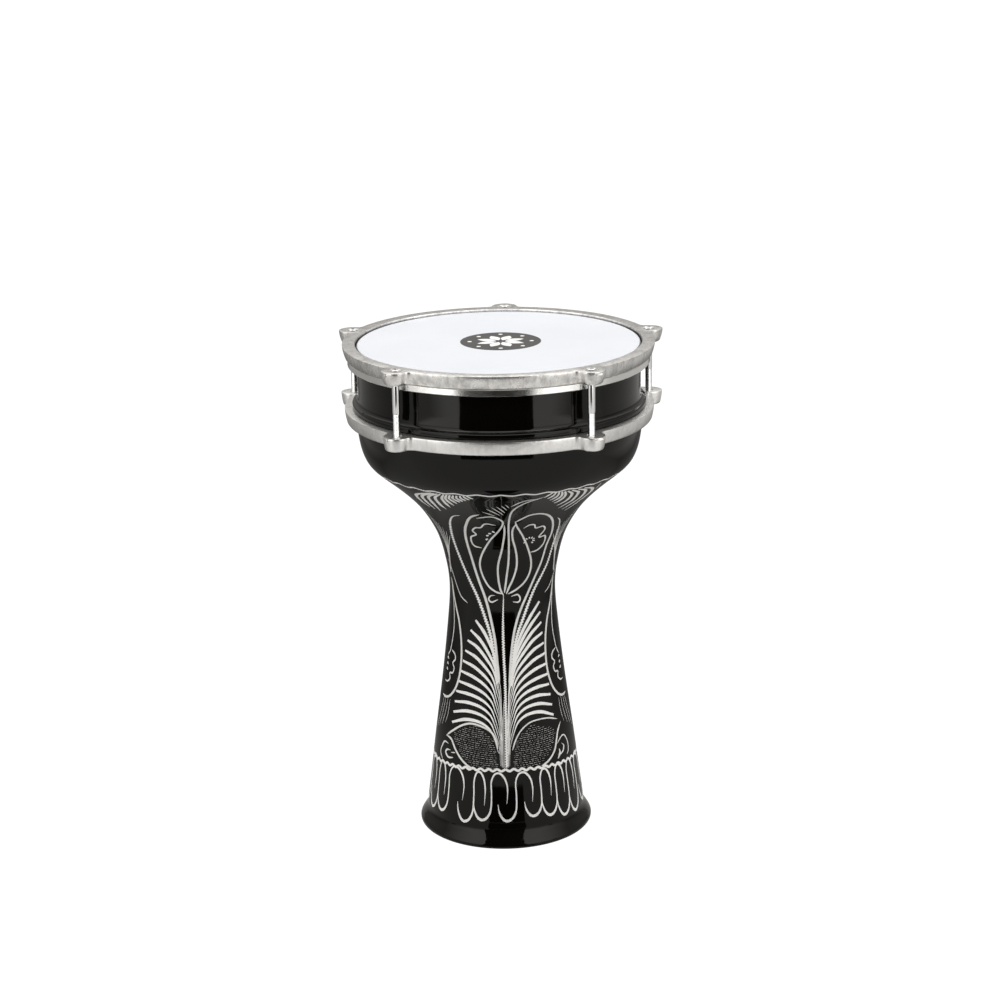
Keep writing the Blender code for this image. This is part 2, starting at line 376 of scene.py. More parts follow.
def rolled_hoop():
    f = Finish("rolled_hoop", Metallic=1.0, Roughness=0.2)
    lines = f.wave(420.0, "Z", 2.0, 3.0)
    cloud = f.noise(45.0, 4.0, 0.6)
    rolled = f.ramp(lines, (0.2, (0.80, 0.80, 0.78)), (0.8, (0.93, 0.92, 0.90)))
    patches = f.ramp(cloud, (0.35, (0.76, 0.76, 0.75)), (0.7, (0.94, 0.94, 0.92)))
    f.set("Base Color", f.mixed(0.4, rolled, patches))
    f.set("Roughness", f.ramp(cloud, (0.3, 0.26), (0.7, 0.14)))
    f.bump(lines, 0.08, 0.0002)
    return f.material


def bright_zinc():
    f = Finish("bright_zinc", Metallic=1.0, Roughness=0.14)
    cloud = f.noise(90.0, 3.0, 0.6)
    f.set("Base Color", f.ramp(cloud, (0.3, (0.84, 0.85, 0.86)), (0.7, (0.94, 0.945, 0.95))))
    f.set("Roughness", f.ramp(cloud, (0.3, 0.18), (0.7, 0.11)))
    return f.material


def white_film():
    f = Finish("white_film", Roughness=0.38, IOR=1.5)
    cloud = f.noise(14.0, 4.0, 0.55)
    fine = f.noise(700.0, 2.0, 0.5)
    flat = f.node("VectorMath", {1: (10.0, 10.0, 0.0)}, operation="MULTIPLY")
    f.link(f.place, flat.inputs[0])
    reach = f.node("VectorMath", operation="LENGTH")
    f.link(flat.outputs[0], reach.inputs[0])
    sheet = f.ramp(cloud, (0.3, (0.69, 0.72, 0.78)), (0.7, (0.735, 0.76, 0.81)))
    rim = f.ramp(reach.outputs["Value"], (0.953, 0.0), (0.958, 1.0))  # painted shade: the film darkens to near black in the joint beside the ring
    f.set("Base Color", f.mixed(rim, sheet, (0.03, 0.03, 0.03)))
    f.set("Roughness", f.ramp(fine, (0.3, 0.44), (0.7, 0.32)))
    f.bump(fine, 0.05, 0.0002)
    return f.material


def printed_ink(name, low, high):
    f = Finish(name, Roughness=0.5)
    grain = f.noise(1800.0, 3.0, 0.6)
    f.set("Base Color", f.ramp(grain, (0.3, low), (0.7, high)))
    f.set("Roughness", f.ramp(grain, (0.3, 0.55), (0.7, 0.45)))
    return f.material


def cast_resin():
    f = Finish("cast_resin", Roughness=0.42)
    cloud = f.noise(130.0, 4.0, 0.6)
    f.set("Base Color", f.ramp(cloud, (0.3, (0.58, 0.46, 0.25)), (0.7, (0.78, 0.66, 0.42))))
    f.bump(cloud, 0.2, 0.0003)
    return f.material


LACQUER = black_lacquer()
CASTING = raw_casting()
CUT = cut_metal("scored_line", (0.66, 0.66, 0.65), (0.97, 0.97, 0.95))
BRIGHT_CUT = cut_metal("bright_cut", (0.9, 0.9, 0.89), (1.0, 1.0, 0.99))
TOP_METAL = cast_aluminium("cast_top_ring", (0.97, 0.96, 0.94), (0.54, 0.535, 0.525), 0.3)
LOW_METAL = cast_aluminium("cast_low_ring", (1.0, 0.995, 0.98), (0.82, 0.815, 0.80), 0.32)
HOOP_METAL = rolled_hoop()
ZINC = bright_zinc()
FILM = white_film()

# ------------ shell

shell_path = meridian("shell")
shell_outline = refined(shell_path, 4, closed=True)
shell_mesh = turned("shell_turned", shell_outline)
piece("shell_turned", shell_mesh, LACQUER, "shell", ["shell"])
shell_mesh.materials.append(CASTING)


def shell_profile():
    """Radius and height along the outer side, from the foot's lip up to the counter ring, in mm."""
    near, level = 1e-3, 1e-6  # mm
    foot_tall = 5 * MM
    side = [(r / MM, z / MM) for r, z in shell_outline]
    foot_r = max(r for r, z in shell_path if z < foot_tall) / MM
    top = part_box("counter_ring")[1][2] / MM
    first = next(i for i, (r, z) in enumerate(side) if abs(r - foot_r) < near)
    chain = []
    for r, z in side[first:]:
        if z > top or (chain and z < chain[-1][1] - level):
            break
        chain.append((r, z))
    return chain


OUTER = shell_profile()
coated_down_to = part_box("shell")[1][2] - 3 * MM  # inside the mouth the lacquer ends at this height
for polygon in shell_mesh.polygons:
    center = polygon.center
    facing = polygon.normal.x * center.x + polygon.normal.y * center.y
    if facing < -1e-6 and center.z < coated_down_to:
        polygon.material_index = 1


def radius_at(z):
    """Shell radius and slope dr/dz at height z, all in mm."""
    for (r0, z0), (r1, z1) in zip(OUTER, OUTER[1:]):
        if z <= z1 and z1 > z0:
            slope = (r1 - r0) / (z1 - z0)
            return r0 + (z - z0) * slope, slope
    return OUTER[-1][0], 0.0


def on_shell(degrees, z, lift=0.0):
    """A point lift mm off the shell's outer side."""
    r, slope = radius_at(z)
    r += lift * math.hypot(1.0, slope)
    turn = math.radians(degrees)
    return Vector((r * math.sin(turn), -r * math.cos(turn), z))


# ------------ engraving


class Engraving:
    """Closed strips that follow strokes on the shell: two lips with a shallow groove between them."""

    SPACING = 1.1  # mm between cross-sections
    LIP, GROOVE, ROOT = 0.07, 0.035, -0.15  # mm off the lacquer
    SECTION = ((-1, ROOT), (-1, LIP), (0, GROOVE), (1, LIP), (1, ROOT))  # side, lift
    TAPER = 5.0  # mm over which an end narrows to its tip
    RUN_IN = 30.0  # mm over which a wriggle reaches its depth
    APART = 0.004  # mm between the lifts of strokes that may cross

    def __init__(self):
        self.verts, self.faces, self.along, self.bright = [], [], [], []
        self.drawn = 0

    def stroke(self, points, width, tips=(0.25, 0.25), wriggle=None, widths=None, bright=False):
        """A smooth stroke through points (degrees, mm). tips is its width at each end, as a share of
        the width; wriggle is (depth, pitch) in mm of the serration left by a rocked graver."""
        path = [Vector(p) for p in points]
        path = [2 * path[0] - path[1], *path, 2 * path[-1] - path[-2]]
        legs = len(path) - 3
        spans = [(on_shell(*a) - on_shell(*b)).length for a, b in zip(path[1:], path[2:-1])]
        total = sum(spans)
        spacing = min(self.SPACING, wriggle[1] / 4 if wriggle else self.SPACING)
        count = max(4, int(total / spacing))
        samples = []
        for s in range(count + 1):
            want = total * s / count
            leg = 0
            while leg < legs - 1 and want > spans[leg]:
                want -= spans[leg]
                leg += 1
            t = min(1.0, want / max(spans[leg], 1e-9))
            samples.append((catmull(*path[leg : leg + 4], t), leg + t))
        shift = self.APART * (self.drawn % 5)
        self.drawn += 1
        first = len(self.verts)
        spots = [on_shell(*p) for p, _ in samples]
        for s, (p, place) in enumerate(samples):
            ahead = spots[min(s + 1, count)] - spots[max(s - 1, 0)]
            outwards = Vector((spots[s].x, spots[s].y, 0.0)).normalized()
            outwards.z = -radius_at(p.y)[1]
            aside = outwards.cross(ahead).normalized()
            share = s / count
            run, left = share * total, (1 - share) * total
            half = width * min(1.0, run / self.TAPER + tips[0], left / self.TAPER + tips[1]) / 2
            if widths:
                low = min(int(place), len(widths) - 2)
                half = (widths[low] + (widths[low + 1] - widths[low]) * (place - low)) / 2
            wave = [0.0, 0.0]
            if wriggle:
                turns = run / wriggle[1]
                depth = wriggle[0] * min(1.0, run / self.RUN_IN)
                wave = [depth * abs(2 * ((turns + k) % 1) - 1) for k in (0.0, 0.5)]
            ring = []
            for side, lift in self.SECTION:
                spot = spots[s] + aside * side * (half + wave[int(side > 0)])
                degrees = math.degrees(math.atan2(spot.x, -spot.y))
                ring.append(on_shell(degrees, spot.z, lift + shift))
            self.verts += [q * MM for q in ring]
            self.along += [(run, k / 4) for k in range(5)]
        for s in range(count):
            a = first + 5 * s
            for k in range(5):
                n = (k + 1) % 5
                self.faces.append((a + k, a + n, a + 5 + n, a + 5 + k))
        last = first + 5 * count
        self.faces.append(tuple(first + k for k in reversed(range(5))))
        self.faces.append(tuple(last + k for k in range(5)))
        self.bright += [bright] * (len(self.faces) - len(self.bright))

    def mesh(self, name):
        made = bpy.data.meshes.new(name)
        made.from_pydata(self.verts, [], self.faces)
        layer = made.uv_layers.new(name="stroke")
        for loop in made.loops:
            layer.data[loop.index].uv = self.along[loop.vertex_index]
        for polygon, bright in zip(made.polygons, self.bright):
            polygon.material_index = int(bright)
        face_outwards(made)
        return shaded(made, 40.0)


def lerp(a, b, t):
    return a + (b - a) * t


def keyed(keys, t):
    """Values read off a short list of (place, value) pairs."""
    for (t0, a), (t1, b) in zip(keys, keys[1:]):
        if t <= t1:
            return lerp(a, b, (t - t0) / (t1 - t0))
    return keys[-1][1]


FRONT_LINES = (  # flower, frame and leaves: width, wriggle or None, then (degrees, mm) points
    (
        1.3, None, (-16, 240), (-7, 242), (-2, 240), (1, 236), (-2, 229), (-10, 220), (-19, 208),
        (-22, 200), (-20, 192), (-15, 185), (-8, 181), (0, 179),
    ),
    (1.3, None, (2, 234), (2, 225), (0, 213), (-4, 200), (-4, 190), (-2, 182), (1, 178)),
    (
        1.3, None, (20, 260), (13, 256), (9, 252), (6, 247), (5, 240), (5, 230), (6, 217), (6, 203),
        (4, 190), (2, 180),
    ),
    (
        1.3, None, (10, 235), (8, 229), (9, 221), (12, 213), (14, 205), (14, 198), (11, 190), (7, 184),
        (4, 179),
    ),
    (
        1.3, None, (9, 237), (11, 232), (17, 223), (24, 212), (29, 202), (29, 194), (24, 187), (15, 182),
        (6, 179),
    ),
    (
        1.8, None, (-13, 244), (-19, 241), (-24, 235), (-29, 226), (-31, 215), (-29, 201), (-25, 188),
        (-19, 176), (-14, 164), (-9, 148), (-6.5, 132), (-4.5, 116),
    ),
    (
        0.6, (1.25, 2.0), (-26, 241.5), (-32, 239.5), (-37, 235), (-41, 229), (-45, 220), (-46, 211),
        (-43, 200), (-36, 187), (-28, 176), (-20, 163), (-13, 149), (-9, 132), (-6.5, 116),
    ),
    (
        1.6, None, (9, 236), (13, 239), (18, 242), (25, 242), (33, 238), (40, 231), (45, 221), (44, 211),
        (42, 200), (35, 188), (27, 177), (20, 168), (14, 158), (10, 147), (7, 132), (5, 114),
    ),
    (
        0.6, (1.15, 2.0), (42, 234.5), (47, 231), (51, 225), (54, 217), (54, 207), (52, 198), (46, 190),
        (37, 181), (29, 171), (22, 161), (16, 152), (12, 143), (9, 130), (7, 114),
    ),
    (0.4, (1.1, 1.8), (1, 179), (0, 160), (0, 140), (1, 115), (1, 90), (1, 57)),
    (1.1, None, (5, 252), (9, 256), (13, 258), (17, 258)),
    (0.8, None, (-11, 247), (-4, 243)),
    (0.8, None, (-8, 250), (-1, 243.5)),
    (0.8, None, (-5, 251.5), (1, 244)),
    (0.8, None, (-2.5, 252.5), (2, 246)),
    (0.8, None, (0, 253.5), (3, 248.5)),
    (0.8, None, (2, 254.5), (4, 251)),
    (
        1.2, None, (-4, 234), (-11, 235), (-15, 231.5), (-19, 231), (-22, 228), (-20, 225), (-25, 222.5),
        (-26, 218), (-24, 215), (-18, 214),
    ),
    (
        1.2, None, (16, 230), (20, 232.5), (24, 232), (26, 229), (32, 229.5), (35, 226), (32, 220.5),
        (38, 220.5), (40, 216), (38, 212), (33, 209.5), (27, 209),
    ),
    (1.1, None, (-8, 178), (-13, 177.5), (-15, 175), (-12, 173), (-5, 175)),
    (1.1, None, (9, 177), (16, 178), (19, 175), (17, 172.5), (11, 173)),
    (1.4, None, (-58, 72), (-49, 78), (-39, 83.5), (-30, 86), (-20, 85), (-12, 82), (-8, 77), (-6, 70)),
    (1.5, None, (-58, 72), (-51, 71), (-45, 65), (-39, 60), (-32, 56), (-26, 54)),
    (0.9, None, (52, 84), (42, 87), (32, 88), (22, 87), (14, 82.5), (9, 76), (6, 69)),
    (1.4, None, (56, 81), (51, 76), (48, 70), (45, 64), (41, 60), (36, 57), (30, 55)),
    (1.1, None, (-54, 67), (-60, 67), (-64, 62), (-65, 58), (-61, 54)),
    (1.4, None, (-51, 63), (-55, 62.5), (-57, 60), (-53, 57.5), (-47, 58.5)),
    (1.2, None, (-50, 61.5), (-45, 62.5)),
    (0.9, None, (48, 67), (54, 70.5), (59, 70.5), (63, 65), (63, 59), (60, 56)),
    (1.2, None, (54, 66), (56.5, 63.5), (55, 60.5), (51, 58.5)),
    (2.2, None, (50, 63), (50.5, 60), (47.5, 56.5)),
    (0.8, None, (-68, 198), (-62, 186), (-57, 179), (-51, 173.5), (-41, 170)),
    (0.7, None, (77, 191), (69, 184), (60, 178), (52, 175)),
    (0.8, None, (51, 262), (55, 255)),
)
LEFT_FAN = (  # one row a point: its angle, then its height, from the outermost crescent (0) inwards (1)
    (((0, 32), (1, 15)), ((0, 262.4), (1, 262.8))),
    (((0, 45), (0.36, 29), (1, 14)), ((0, 256.5), (0.4, 257.5), (1, 261.6))),
    (
        ((0, 49), (0.36, 29.5), (0.6, 21.5), (1, 13.4)),
        ((0, 250), (0.25, 249.5), (0.5, 255), (1, 260.8)),
    ),
    (
        ((0, 47), (0.18, 39.5), (0.3, 31), (0.5, 23.5), (1, 12.4)),
        ((0, 244), (0.18, 242.6), (0.3, 247), (0.6, 255), (1, 260.4)),
    ),
)
RIGHT_FAN = (
    (((0, 40), (0.3, 31.5), (1, 23)), ((0, 262), (1, 263.4))),
    (((0, 48), (0.25, 39), (0.5, 31.5), (1, 22)), ((0, 258.5), (0.5, 258), (1, 262))),
    (((0, 53), (0.25, 41.5), (0.5, 31.5), (1, 21.3)), ((0, 252), (0.25, 250.5), (0.5, 254.5), (1, 260.8))),
    (((0, 50), (0.25, 39), (0.5, 30), (1, 20.6)), ((0, 244.5), (0.3, 248), (0.6, 254), (1, 260))),
    (((0, 44), (0.25, 35.5), (0.5, 28.5), (1, 20)), ((0, 240), (0.25, 244.5), (0.5, 251.5), (1, 259.2))),
)
FLOWER_DASHES = (  # short pecks inside the left blossom: from, to
    ((-13, 221), (-11, 222)),
    ((-12, 224.5), (-10, 225)),
    ((-10, 226.5), (-8, 226.5)),
    ((-7, 228.5), (-5, 227.5)),
)

SIDE_LINES = (  # one hanging drop with its blossom, about its own middle
    (
        1.6, None, (-2, 184), (1, 174), (8, 164), (15, 155), (20, 143), (22, 130), (21, 118), (17, 108),
        (10, 101), (2, 98), (-6, 98),
    ),
    (0.9, None, (-2, 178), (4, 160), (6, 150), (5, 141), (2, 132), (-3, 127)),
    (
        1.1, None, (4, 133), (11, 131), (13, 127.5), (9, 124), (12, 121), (10, 117), (5, 116), (6, 112),
        (1, 109), (-4, 109),
    ),
)

GARLAND_CENTERS = (-70, -56, -32, -18, 1, 21, 35, 49, 63)  # the ones across the front, degrees
GARLAND_LOWEST = (16, 18, 16, 19, 19, 21, 19, 15.5, 14)  # mm above the floor
GARLAND = (  # one hook: degrees from its middle, mm above its lowest point, width
    (-7.0, 11.5, 0.35),
    (-6.0, 6.0, 1.1),
    (-3.2, 1.3, 1.7),
    (0.2, 0.0, 2.0),
    (4.0, 2.2, 1.6),
    (6.6, 8.0, 1.1),
    (7.0, 18.0, 0.95),
    (6.8, 27.0, 0.95),
    (9.0, 32.5, 1.2),
    (12.6, 33.2, 1.5),
    (16.0, 29.0, 1.25),
    (17.4, 22.0, 0.9),
    (16.8, 12.0, 0.2),
)
ROOTS = (58.0, 76.0, 66.0)  # heights where the fronds run out, in turn


def front_motif(art, turn, rng):
    """Tulip in a teardrop above a fern, with two shaded leaves at its root."""

    def put(points):
        return [(a + turn, z) for a, z in points]

    for width, wriggle, *points in FRONT_LINES:
        art.stroke(put(points), width, (0.2, 0.35), wriggle, bright=wriggle is not None)
    for a, b in FLOWER_DASHES:
        art.stroke(put((a, b)), 1.7, (0.9, 0.5), bright=True)
    heart = (23.5, 218.5)
    for k in range(8):  # pecks round the right blossom's heart
        x, y = polar(1.0, math.radians(200 - 34 * k))
        ends = [(heart[0] + wide * x, heart[1] + tall * y) for wide, tall in ((3.0, 2.0), (5.2, 3.4))]
        art.stroke(put(ends), 1.0, (0.8, 0.8), bright=True)
    left, right = 11, 12  # fronds on each side
    for k in range(left):
        t = k / (left - 1)
        tip = (keyed(((0, -30), (0.12, -37), (0.4, -44), (0.7, -50), (1.0, -52)), t), 159 - 76 * t)
        fern_leaf(art, turn, tip, 0.12 + 0.88 * t, ROOTS[k % 3])
    for k in range(right):
        t = k / (right - 1)
        fern_leaf(art, turn, (43 + 5 * t, 170 - 82 * t), t, ROOTS[k % 3])
    for side in (-1, 1):
        shaded_leaf(art, turn, side, rng)
        for k in range(3):  # strands of the stem's foot
            points = ((0.6 + k, 104 - 10 * k), (1.0 + 1.1 * k, 80), (0.7 + 0.9 * k, 57))
            art.stroke([(side * a + turn, z) for a, z in points], 0.3, (0.2, 0.9))
    for side, count, lines in ((-1, 12, LEFT_FAN), (1, 9, RIGHT_FAN)):
        for k in range(count):
            t = k / (count - 1)
            points = [(side * keyed(a, t) + turn, keyed(z, t)) for a, z in lines]
            thick = lerp(1.0, 0.62, t)
            widths = (1.2, 2.4 * thick, 3.0 * thick, 1.9 * thick, 0.4)[: len(points) - 1] + (0.4,)
            art.stroke(points, 1.6, widths=widths, bright=True)


def fern_leaf(art, turn, tip, order, low):
    """One frond from its tip in to the stem; order runs from 0 at the top to 1 at the lowest."""
    falls = (  # share of the tip's angle, then mm above the tip for leaves from the top to the lowest
        (0.70, ((0.0, -9), (0.3, -3.5), (0.65, -1), (1.0, 5))),
        (0.44, ((0.0, -20), (0.3, -11), (0.65, -4), (1.0, 5))),
        (0.26, ((0.0, -33), (0.3, -19), (0.65, -9.5), (1.0, 1))),
        (0.17, ((0.0, -46), (0.3, -29), (0.65, -17), (1.0, -6))),
        (0.095, ((0.0, -60), (0.3, -42), (0.65, -28), (1.0, -16))),
    )
    points = [(tip[0] + turn, tip[1])]
    for share, fall in falls:
        points.append((tip[0] * share + turn, tip[1] + keyed(fall, order)))
    root = math.copysign(1.2 + 2.8 * order, tip[0])
    points.append((root + turn, low))
    art.stroke(points, 1.8, widths=(1.5, 2.3, 2.0, 1.25, 0.55, 0.26, 0.13), bright=True)


def shaded_leaf(art, turn, side, rng):
    """Rows of fine dashes inside a leaf beside the stem."""
    outer = ((56, 32), (60, 39), (65, 44), (71, 49), (76, 50), (80, 43), (84, 31))
    inner = ((56, 3.6), (66, 5), (75, 7.5), (80, 13), (84, 20))
    rows = 20
    for row in range(rows):
        z = 56.5 + 27.5 * row / (rows - 1)
        a, b = keyed(inner, z) + 1.5, keyed(outer, z) - 2.0
        at = a + rng.uniform(0, 2)
        while at < b - 1.5:
            to = min(b, at + rng.uniform(0.9, 3.2))
            level = z + 0.03 * (at - 8)
            middle = ((at + to) / 2, level + rng.uniform(-0.15, 0.15))
            points = [(side * x + turn, y) for x, y in ((at, level), middle, (to, level))]
            art.stroke(points, rng.uniform(0.06, 0.22), (0.6, 0.6))
            at = to + rng.uniform(0.5, 1.3)


def side_motif(art, middle, mirror):
    """A hanging drop and its blossom, with fine lines above and below."""

    def put(points):
        return [(middle + mirror * a, z) for a, z in points]

    for width, wriggle, *points in SIDE_LINES:
        art.stroke(put(points), width, (0.3, 0.3), wriggle)
    for z in (117, 121, 125):
        art.stroke(put(((-3, z + 1), (0, z))), 1.8, (0.7, 0.5), bright=True)
    for k in range(7):  # feather above the drop
        t = k / 6
        barb = ((-2 + 2 * t, 188), (4 + 5 * t, 204 + 3 * t), (lerp(4, 20, t), lerp(236, 220, t)))
        art.stroke(put(barb), 0.5, (0.4, 0.2))
    for k in range(4):  # and below it
        t = k / 3
        barb = ((lerp(-2, 10, t), 98), (lerp(-5, 9, t), 88), (lerp(-12, 6, t), lerp(72, 80, t)))
        art.stroke(put(barb), 0.35, (0.3, 0.2))


def rocked_line(art, steps, height, sway, depth, width):
    """A zigzag once round the shell, in three strokes. It runs higher by sway in front and behind,
    and lower by as much at the sides."""
    turns = [360.0 * k / steps for k in range(steps + 1)]
    levels = [height + sway * math.cos(math.radians(2 * turn)) for turn in turns]
    points = [(turns[k], levels[k] + depth * (-1) ** k) for k in range(steps + 1)]
    third = steps // 3
    for start in range(0, steps, third):
        art.stroke(points[start : start + third + 1], width, (1.0, 1.0), bright=True)


def bands(art, rng):
    """The two rocked lines that close the pattern, and the garland of hooks round the foot."""
    rocked_line(art, 72, 264, 0.0, 0.55, 1.5)
    rocked_line(art, 108, 53.2, 1.9, 0.75, 1.7)
    centers = list(zip(GARLAND_CENTERS, GARLAND_LOWEST))
    for k in range(13):
        centers.append((80 + 16.1 * k + rng.uniform(-1.5, 1.5), 17 + rng.uniform(-2, 2)))
    for k, (middle, lowest) in enumerate(centers):
        following = centers[(k + 1) % len(centers)][0]
        stretch = min(1.45, max(0.8, ((following - middle) % 360) / 16.0))
        reach = (52.5 - lowest) / 33.0
        points = [(middle + a + max(0.0, a - 7) * (stretch - 1), lowest + z * reach) for a, z, _ in GARLAND]
        art.stroke(points, 1.0, widths=[w for _, _, w in GARLAND], bright=True)


rng = random.Random(7)
tulips, drops, rims = Engraving(), Engraving(), Engraving()
DROPS_AT = (68.0, 112.0)  # degrees either side of a tulip
for half_turn in (0.0, 180.0):
    front_motif(tulips, half_turn, rng)
    for side in (1, -1):
        for middle, mirror in zip(DROPS_AT, (side, -side)):
            side_motif(drops, half_turn - side * middle, mirror)
bands(rims, rng)
for name, art in (("engraving_tulips", tulips), ("engraving_drops", drops), ("engraving_bands", rims)):
    strips = art.mesh(name)
    piece(name, strips, CUT, "shell")
    strips.materials.append(BRIGHT_CUT)

# ------------ head

film_path = refined(meridian("drumhead_film"), 4, closed=False)
film_mesh = turned("drumhead", film_path, closed=False)
piece("drumhead", film_mesh, FILM, "head", ["drumhead_film"])
hoop_path = refined(meridian("head_hoop"), 2, closed=True)
piece("hoop", turned("hoop", hoop_path), HOOP_METAL, "head", ["head_hoop"])
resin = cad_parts["head_resin"]
resin.material_slots[0].material = cast_resin()

FILM_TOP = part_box("drumhead_film")[1][2]
INK_TALL = 0.04 * MM
INK_SUNK = 0.02 * MM
BADGE_AT = (1.5 * MM, 0.5 * MM)
BADGE = (27.4 * MM, 27.0 * MM)  # half width and half depth of the printed disc
PETAL = (17.0 * MM, 3.4 * MM)  # reach and half width
SEED_AT, SEED_R = 21.0 * MM, 1.5 * MM


def flat_print(name, outline, z, finish):
    """A thin plate of ink on the film; outline is a closed list of (x, y)."""
    bm = bmesh.new()
    low = [bm.verts.new((x, y, z - INK_SUNK)) for x, y in outline]
    high = [bm.verts.new((x, y, z + INK_TALL)) for x, y in outline]
    bm.faces.new(high)
    bm.faces.new(low[::-1])
    bridge(bm, low, high)
    piece(name, mesh_from(bm, name), finish, "head")


def ellipse(center, half, steps):
    turns = [2 * math.pi * i / steps for i in range(steps)]
    return [(center[0] + half[0] * math.cos(t), center[1] + half[1] * math.sin(t)) for t in turns]


def petal(center, reach, wide, tilt):
    """A pointed leaf from near the centre outwards."""
    points = []
    steps = 8
    for side in (1, -1):
        for i in range(steps + 1):
            t = i / steps if side > 0 else 1 - i / steps
            x, y = reach * (0.18 + 0.82 * t), side * wide * math.sin(math.pi * t)
            points.append((round(x, 7), round(y, 7)))
    c, s = polar(1.0, tilt)
    return [(center[0] + x * c - y * s, center[1] + x * s + y * c) for x, y in dict.fromkeys(points)]


dark_ink = printed_ink("dark_ink", (0.045, 0.043, 0.042), (0.062, 0.060, 0.058))
pale_ink = printed_ink("pale_ink", (0.78, 0.79, 0.80), (0.88, 0.89, 0.90))
flat_print("badge_oval", ellipse(BADGE_AT, BADGE, 96), FILM_TOP, dark_ink)
for k in range(8):
    outline = petal(BADGE_AT, *PETAL, math.radians(45 * k + 22.5))
    flat_print(f"badge_petal_{k + 1}", outline, FILM_TOP + INK_TALL, pale_ink)
for k in range(8):
    x, y = polar(SEED_AT, math.radians(45 * k))
    outline = ellipse((BADGE_AT[0] + x, BADGE_AT[1] + y), (SEED_R, SEED_R), 24)
    flat_print(f"badge_seed_{k + 1}", outline, FILM_TOP + INK_TALL, pale_ink)

# ------------ rings

EAR_CENTER_R = 107.9 * MM
EAR_FILLET = 4.0 * MM
EAR_TURNS = [EAR_START + k * 2 * math.pi / EARS for k in range(EARS)]
EAR_PLACES = [Vector((*polar(BOLT_CIRCLE_R, turn), 0.0)) for turn in EAR_TURNS]
TOP_RING = {  # "foot" and "crown" are how round its lower and upper edges are
    "inner": 97.1 * MM,
    "outer": 105.8 * MM,
    "ear": 9.0 * MM,
    "draft": 2.3 * MM,
    "foot": 1.5 * MM,
    "crown": 0.35 * MM,
}
LOW_RING = {
    "inner": 98.0 * MM,
    "outer": 105.2 * MM,
    "ear": 8.7 * MM,
    "draft": 1.4 * MM,
    "foot": 1.2 * MM,
    "crown": 0.3 * MM,
}


def eared_loop(ring, inset):
    """Points (x, y) round a ring with ears, its side walls moved in by inset."""
    body_r = ring["outer"] - inset
    ear_r = ring["ear"] - inset
    fillet_r = EAR_FILLET + inset
    reach = ring["outer"] + EAR_FILLET
    span = ring["ear"] + EAR_FILLET
    half = math.acos((reach**2 + EAR_CENTER_R**2 - span**2) / (2 * EAR_CENTER_R * reach))
    fillet_at = Vector(polar(reach, half))
    ear_at = Vector((EAR_CENTER_R, 0.0))
    to_ear = ear_at - fillet_at
    ear_turn = math.atan2(-to_ear.y, -to_ear.x)
    start = math.atan2(to_ear.y, to_ear.x)
    end = half - math.pi
    ear_steps, fillet_steps, between_steps = 12, 6, 26
    spare = 2 * math.pi / EARS - 2 * half
    boss, fillet, between = [], [], []
    for i in range(-ear_steps, ear_steps + 1):
        x, y = polar(ear_r, ear_turn * i / ear_steps)
        boss.append((ear_at.x + x, y))
    for i in range(1, fillet_steps + 1):
        x, y = polar(fillet_r, start + (end - start) * i / fillet_steps)
        fillet.append((fillet_at.x + x, fillet_at.y + y))
    for i in range(1, between_steps):
        between.append(polar(body_r, half + spare * i / between_steps))
    one = [(x, -y) for x, y in reversed(fillet)] + boss + fillet + between
    points = []
    for turn in EAR_TURNS:
        rotate = Matrix.Rotation(turn, 2)
        points += [rotate @ Vector(p) for p in one]
    return points


def ring_mesh(name, node, ring):
    """Drafted walls with a rolled lower edge and a crisp upper one."""
    low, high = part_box(node)[0][2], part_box(node)[1][2]
    foot, crown = ring["foot"], ring["crown"]
    levels = []
    for i in range(6):
        t = math.radians(18.0 * i)
        levels.append((low + foot * (1 - math.cos(t)), foot * (1 - math.sin(t))))
    levels += [(lerp(low + foot, high - crown, i / 8), 0.0) for i in range(1, 9)]
    levels += [(high - crown * 0.3, crown * 0.3), (high, crown)]
    bm = bmesh.new()
    loops = []
    for z, extra in levels:
        inset = extra + ring["draft"] * ((high - z) / (high - low)) ** 1.7
        loops.append([bm.verts.new((x, y, z)) for x, y in eared_loop(ring, inset)])
    edge = 0.4 * MM
    bore = ((high, edge), (high - edge, 0.0), (low + edge, 0.0), (low, edge))
    for z, widen in bore:
        inner = [v.co.xy.normalized() * (ring["inner"] + widen) for v in loops[0]]
        loops.append([bm.verts.new((*xy, z)) for xy in inner])
    for near, far in zip(loops, loops[1:] + loops[:1]):
        bridge(bm, near, far)
    return shaded(mesh_from(bm, name), 28.0)


def plug(outline, place, sides=40):
    """A turned cutter at one ear."""
    mesh = turned("plug", outline, closed=False, around=sides)
    mesh.transform(Matrix.Translation(place))
    return linked("plug", mesh)


def file_nick(ring, turn, z, wide, tall):
    """A cutter for a shallow dent in one ear's outer wall, just under its top edge."""
    bm = bmesh.new()
    bmesh.ops.create_uvsphere(bm, u_segments=24, v_segments=12, radius=1.0)
    mesh = mesh_from(bm, "nick")
    scale = Matrix.Diagonal((1.3 * MM, wide / 2, tall / 2, 1.0))
    outer_r = EAR_CENTER_R + ring["ear"] - 0.1 * MM
    place = Matrix.Translation((*polar(outer_r, turn), z))
    mesh.transform(place @ Matrix.Rotation(turn, 4, "Z") @ scale)
    return linked("nick", mesh)


